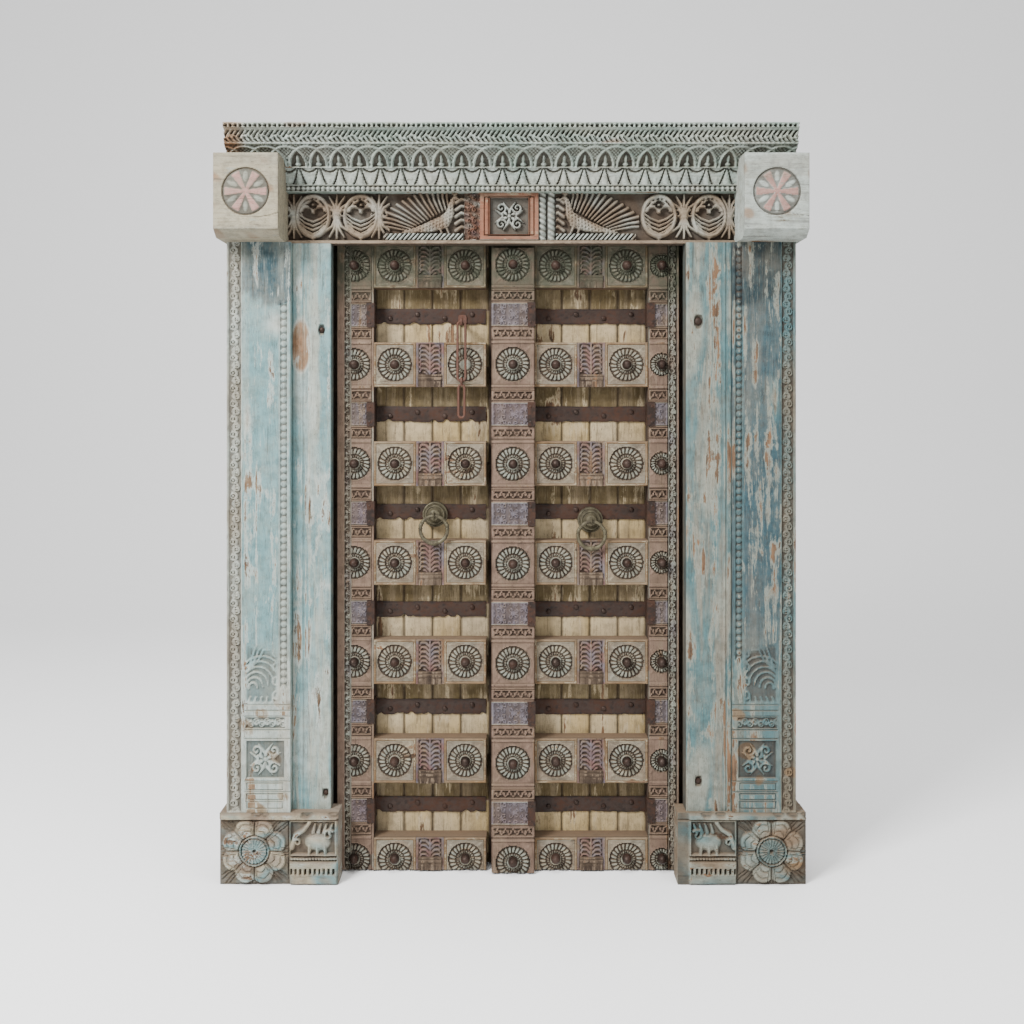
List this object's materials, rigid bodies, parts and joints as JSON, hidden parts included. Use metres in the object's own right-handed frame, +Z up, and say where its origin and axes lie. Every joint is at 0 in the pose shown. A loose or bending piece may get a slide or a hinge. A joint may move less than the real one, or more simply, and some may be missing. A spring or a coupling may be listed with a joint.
{
  "type": "carved double door",
  "caption": "Carved double-leaf temple door in its painted post-and-lintel frame, with rosette rails, iron straps, studs, ring pulls and a hanging hasp.",
  "frame": {"origin": "middle of the footprint, on the floor under the base blocks", "axes": "+Z up, +X to the right seen from the carved front, +Y towards the plain back"},
  "size_m": [1.753, 0.315, 2.26],
  "materials": {
    "blue_timber": "carved hardwood under worn turquoise and white paint, bare orange-brown wood showing through",
    "painted_base": "carved hardwood under worn blue-green paint and dust",
    "cream_block": "end block under thin cream and pale blue paint, coarse grain",
    "pale_blue_block": "end block under thin pale blue paint with brown stains",
    "brown_frieze": "deeply carved hardwood, dusty brown with traces of blue paint",
    "green_cornice": "carved hardwood under worn sea-green paint",
    "bare_timber": "plain sawn hardwood, oiled and dusty",
    "dark_timber": "dark plain hardwood",
    "carved_stile": "carved hardwood with lavender, cream and pink paint remains",
    "yellow_boards": "rough boards with worn yellow and pink paint",
    "rail_timber": "orange-brown hardwood, dusty on its upper faces",
    "rosette_timber": "carved hardwood, ochre frame and blue-white petals",
    "mauve_carving": "carved hardwood with mauve paint, nearly black foot",
    "strap_iron": "wrought strap, brown rust, matt",
    "stud_iron": "wrought domed heads, brown rust worn smooth",
    "rusty_iron": "wrought bar, red-brown rust",
    "aged_brass": "cast brass, grey-olive patina"
  },
  "bodies": {
    "frame": {"left_base_block": "painted_base", "right_base_block": "painted_base", "left_post": "blue_timber", "right_post": "blue_timber", "left_jamb": "blue_timber", "right_jamb": "blue_timber", "left_corner_block": "cream_block", "right_corner_block": "pale_blue_block", "carved_lintel": "brown_frieze", "carved_cornice": "green_cornice", "head_beam": "bare_timber", "left_pivot_shoe": "dark_timber", "right_pivot_shoe": "dark_timber"},
    "left_leaf": {"left_hinge_stile": "carved_stile", "left_boards": "yellow_boards", "left_rear_battens": "bare_timber", "left_rail_1": "rail_timber", "left_rail_2": "rail_timber", "left_rail_3": "rail_timber", "left_rail_4": "rail_timber", "left_rail_5": "rail_timber", "left_rail_6": "rail_timber", "left_rail_7": "rail_timber", "left_rosette_tiles": "rosette_timber", "left_leaf_carvings": "mauve_carving", "left_straps": "strap_iron", "left_studs": "stud_iron", "left_strap_nails": "stud_iron", "left_clips": "strap_iron", "left_ring_rose": "aged_brass", "hasp_eye": "rusty_iron"},
    "right_leaf": {"right_hinge_stile": "carved_stile", "meeting_stile": "carved_stile", "right_boards": "yellow_boards", "right_rear_battens": "bare_timber", "right_rail_1": "rail_timber", "right_rail_2": "rail_timber", "right_rail_3": "rail_timber", "right_rail_4": "rail_timber", "right_rail_5": "rail_timber", "right_rail_6": "rail_timber", "right_rail_7": "rail_timber", "right_rosette_tiles": "rosette_timber", "right_leaf_carvings": "mauve_carving", "right_straps": "strap_iron", "right_studs": "stud_iron", "right_strap_nails": "stud_iron", "right_clips": "strap_iron", "right_ring_rose": "aged_brass"},
    "left_ring": {"left_ring": "aged_brass"},
    "right_ring": {"right_ring": "aged_brass"},
    "hasp_long_link": {"hasp_long_link": "rusty_iron"},
    "hasp_lower_link": {"hasp_lower_link": "rusty_iron"}
  },
  "joints": [
    {"name": "left_leaf_swing", "type": "hinge", "parent": "frame", "child": "left_leaf", "pos_m": [-0.5095, 0.0875, 1], "axis": [0, 0, 1], "range_deg": [0, 95]},
    {"name": "right_leaf_swing", "type": "hinge", "parent": "frame", "child": "right_leaf", "pos_m": [0.4795, 0.0875, 1], "axis": [0, 0, -1], "range_deg": [0, 95]},
    {"name": "left_ring_swing", "type": "hinge", "parent": "left_leaf", "child": "left_ring", "pos_m": [-0.242, 0.0265, 1.09475], "axis": [-1, 0, 0], "range_deg": [0, 120]},
    {"name": "right_ring_swing", "type": "hinge", "parent": "right_leaf", "child": "right_ring", "pos_m": [0.2405, 0.0265, 1.07769], "axis": [-1, 0, 0], "range_deg": [0, 120]},
    {"name": "hasp_long_link_swing", "type": "hinge", "parent": "left_leaf", "child": "hasp_long_link", "pos_m": [-0.1575, 0.0265, 1.68975], "axis": [-1, 0, 0], "range_deg": [0, 120]},
    {"name": "hasp_lower_link_swing", "type": "hinge", "parent": "hasp_long_link", "child": "hasp_lower_link", "pos_m": [-0.1575, 0.0265, 1.50775], "axis": [-1, 0, 0], "range_deg": [-25, 110]}
  ]
}
